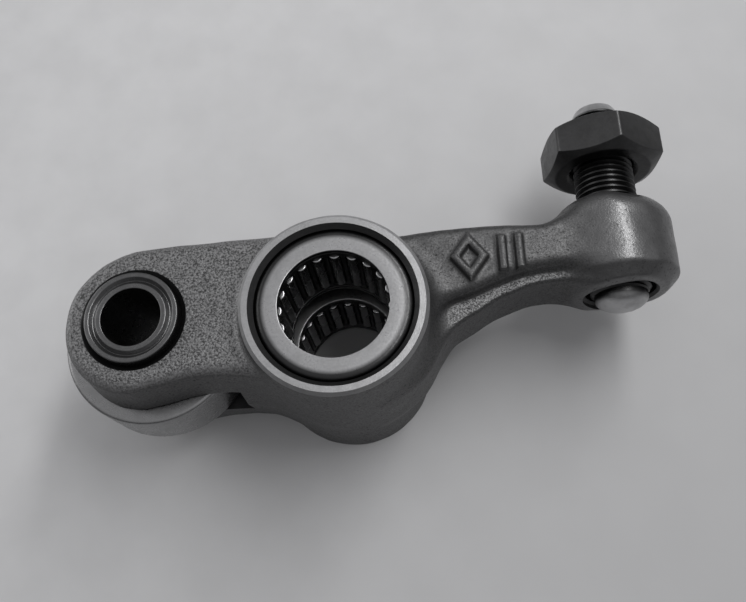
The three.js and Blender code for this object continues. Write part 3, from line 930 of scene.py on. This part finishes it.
def floor_material():
    """Pale floor, a little darker towards the far right."""
    n = Nodes("pale_floor")
    soft = n.noise(0.12, 3, 0.5)
    base = n.mix(n.ramp(soft, 0.35, 0.65, 0.0, 1.0), grey(0.59), grey(0.63))
    place = n.add("ShaderNodeSeparateXYZ", {0: n.position()})
    across = n.math("SUBTRACT", place.outputs[0], n.math("MULTIPLY", place.outputs[1], 0.8))
    # painted shade: the floor darkens along +X and -Y, standing in for the light falling off across it
    shade = n.ramp(across, -70.0, 90.0, 0.0, 0.9)
    n.wire(n.mix(shade, base, grey(0.42)), "Base Color")
    n.shader.inputs["Roughness"].default_value = 0.6
    return n.material


FORGED = forging_material()
MACHINED = steel_material("machined_steel", 0.45, 0.36, per_mm=5, depth=0.02)
# painted shade: near-black steel for the bore, the slot and the holes
BORE_PAINTED_SHADE = steel_material("bore_painted_shade", 0.06, 0.45, per_mm=5, depth=0.02)
CUP_STEEL = steel_material("drawn_cup_steel", 0.45, 0.3, per_mm=4, depth=0.012, dark=cup_painted_shade)
CAGE_STEEL = steel_material("cage_steel", 0.08, 0.4, per_mm=3)
NEEDLE_STEEL = steel_material("needle_steel", 0.42, 0.22, per_mm=2, depth=0.002, dirt=0.2)
ROLLER_STEEL = steel_material("roller_steel", 0.28, 0.26, per_mm=2, depth=0.002, dirt=0.2)
PIN_STEEL = steel_material("pin_steel", 0.16, 0.28, per_mm=4, depth=0.015)
SCREW_STEEL = steel_material("screw_steel", 0.48, 0.34, per_mm=4, depth=0.01, dark=away_from_screw_ends)
NUT_STEEL = steel_material(
    "black_oxide", 0.075, 0.34, per_mm=3, depth=0.015, metallic=0.85, dark=nut_face_painted_shade
)


def finish_piece(obj, material, body, slot, *nodes):
    if not obj.data.materials:
        obj.data.materials.append(material)
    else:
        obj.data.materials[0] = material
    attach(obj, body)
    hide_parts(*nodes)
    return obj


# ---- the pieces ----
def add_arm():
    arm = new_object("visual_rocker_arm", *forged_body())
    machine(arm)
    arm.data.materials.clear()
    arm.data.materials.append(FORGED)
    arm.data.materials.append(MACHINED)
    arm.data.materials.append(BORE_PAINTED_SHADE)
    mark_machined_faces(arm)
    smooth(arm, 32)
    finish_piece(arm, FORGED, "arm", "forging", "rocker_arm")


def add_hub_bearing(label):
    low, high = local_box(f"{label}_cup")
    finish_piece(cup(f"visual_{label}_cup", low[2], high[2]), CUP_STEEL, "arm", "cup", f"{label}_cup")
    body = f"{label}_needle_set"
    low, high = local_box(f"{label}_cage")
    sizes = (HUB_CAGE_WALL, HUB_NEEDLES, HUB_NEEDLE_RADIUS, length_of(f"{label}_needle_01"))
    finish_piece(cage(f"visual_{label}_cage", low, high, *sizes), CAGE_STEEL, body, "cage", f"{label}_cage")
    for i in range(HUB_NEEDLES):
        name = f"{label}_needle_{i + 1:02d}"
        finish_piece(needle(name, HUB_NEEDLE_RADIUS), NEEDLE_STEEL, body, "needle", name)


def add_roller():
    finish_piece(cam_roller(), ROLLER_STEEL, "roller", "roller", "cam_roller")
    finish_piece(roller_pin(), PIN_STEEL, "arm", "pin", "roller_pin")
    low, high = local_box("roller_cage")
    sizes = (ROLLER_CAGE_WALL, ROLLER_NEEDLES, ROLLER_NEEDLE_RADIUS, length_of("roller_needle_01"))
    ring = cage("visual_roller_cage", low, high, *sizes)
    finish_piece(ring, CAGE_STEEL, "roller_needle_set", "cage", "roller_cage")
    for i in range(ROLLER_NEEDLES):
        name = f"roller_needle_{i + 1:02d}"
        finish_piece(needle(name, ROLLER_NEEDLE_RADIUS), NEEDLE_STEEL, "roller_needle_set", "needle", name)


def add_adjuster():
    finish_piece(adjuster_screw(), SCREW_STEEL, "adjuster", "screw", "adjuster_screw")
    finish_piece(lock_nut(), NUT_STEEL, "nut", "nut", "lock_nut")


# ---- floor, light and camera ----
def add_floor():
    mesh = bpy.data.meshes.new("floor")
    corners = [(-1, -1), (1, -1), (1, 1), (-1, 1)]
    mesh.from_pydata([(FLOOR_REACH * x, FLOOR_REACH * y, 0) for x, y in corners], [], [(0, 1, 2, 3)])
    floor = bpy.data.objects.new("floor", mesh)
    bpy.context.scene.collection.objects.link(floor)
    mesh.materials.append(floor_material())


def add_strip_light(name, direction, distance, width, length, watts):
    """Rectangular light facing the part, its length across the X axis."""
    light = bpy.data.lights.new(name, "AREA")
    light.shape = "RECTANGLE"
    light.size = width
    light.size_y = length
    light.energy = watts
    obj = bpy.data.objects.new(name, light)
    bpy.context.scene.collection.objects.link(obj)
    toward = Vector(direction).normalized()
    along = Vector((1, 0, 0)).cross(toward).normalized()
    turn = Matrix((along.cross(toward), along, toward)).transposed()
    obj.location = toward * distance
    obj.rotation_euler = turn.to_euler()


def add_room():
    """Soft room light: dim near the horizon and on the -Y side, brighter overhead."""
    world = bpy.data.worlds.new("room")
    world.use_nodes = True
    tree = world.node_tree
    direction = tree.nodes.new("ShaderNodeTexCoord").outputs["Generated"]
    toward = tree.nodes.new("ShaderNodeVectorMath")
    toward.operation = "DOT_PRODUCT"
    tree.links.new(direction, toward.inputs[0])
    toward.inputs[1].default_value = Vector((0.1, 0.12, 0.98)).normalized()
    level = tree.nodes.new("ShaderNodeMapRange")
    level.interpolation_type = "SMOOTHSTEP"
    tree.links.new(toward.outputs["Value"], level.inputs["Value"])
    limits = {"From Min": -0.1, "From Max": 1.0, "To Min": ROOM_LOW, "To Max": ROOM_HIGH}
    for name, value in limits.items():
        level.inputs[name].default_value = value
    tree.links.new(level.outputs[0], tree.nodes["Background"].inputs["Strength"])
    tree.nodes["Background"].inputs["Color"].default_value = (1, 1, 1.02, 1)
    bpy.context.scene.world = world


def add_lights():
    add_strip_light("window", (0.40, 0.36, 0.95), 0.34, 0.06, 0.3, 0.56)
    add_strip_light("left_fill", (-0.8, 0.3, 0.4), 0.35, 0.25, 0.25, 0.24)
    add_room()


def add_camera():
    """Camera high on the -Y side, leaning to the right, at the view the part is shown from."""
    data = bpy.data.cameras.new("camera")
    data.sensor_width = 36
    data.lens = 39.03
    data.clip_start = 0.005
    camera = bpy.data.objects.new("camera", data)
    bpy.context.scene.collection.objects.link(camera)
    elevation, azimuth, roll = math.radians(69.32), math.radians(-8.68), math.radians(-11.42)
    level = math.cos(elevation)
    forward = Vector((level * math.sin(azimuth), level * math.cos(azimuth), -math.sin(elevation)))
    target = Vector((-1.146, 0.444, 0)) * MM
    distance = 111.901 * MM / math.sin(elevation)
    camera.location = target - forward * distance
    look = forward.to_track_quat("-Z", "Y").to_matrix()
    camera.rotation_euler = (look @ Matrix.Rotation(roll, 3, "Z")).to_euler()
    bpy.context.scene.camera = camera


add_arm()
add_hub_bearing("upper")
add_hub_bearing("lower")
add_roller()
add_adjuster()
add_floor()
add_lights()
add_camera()
bpy.context.scene.view_settings.view_transform = "Standard"
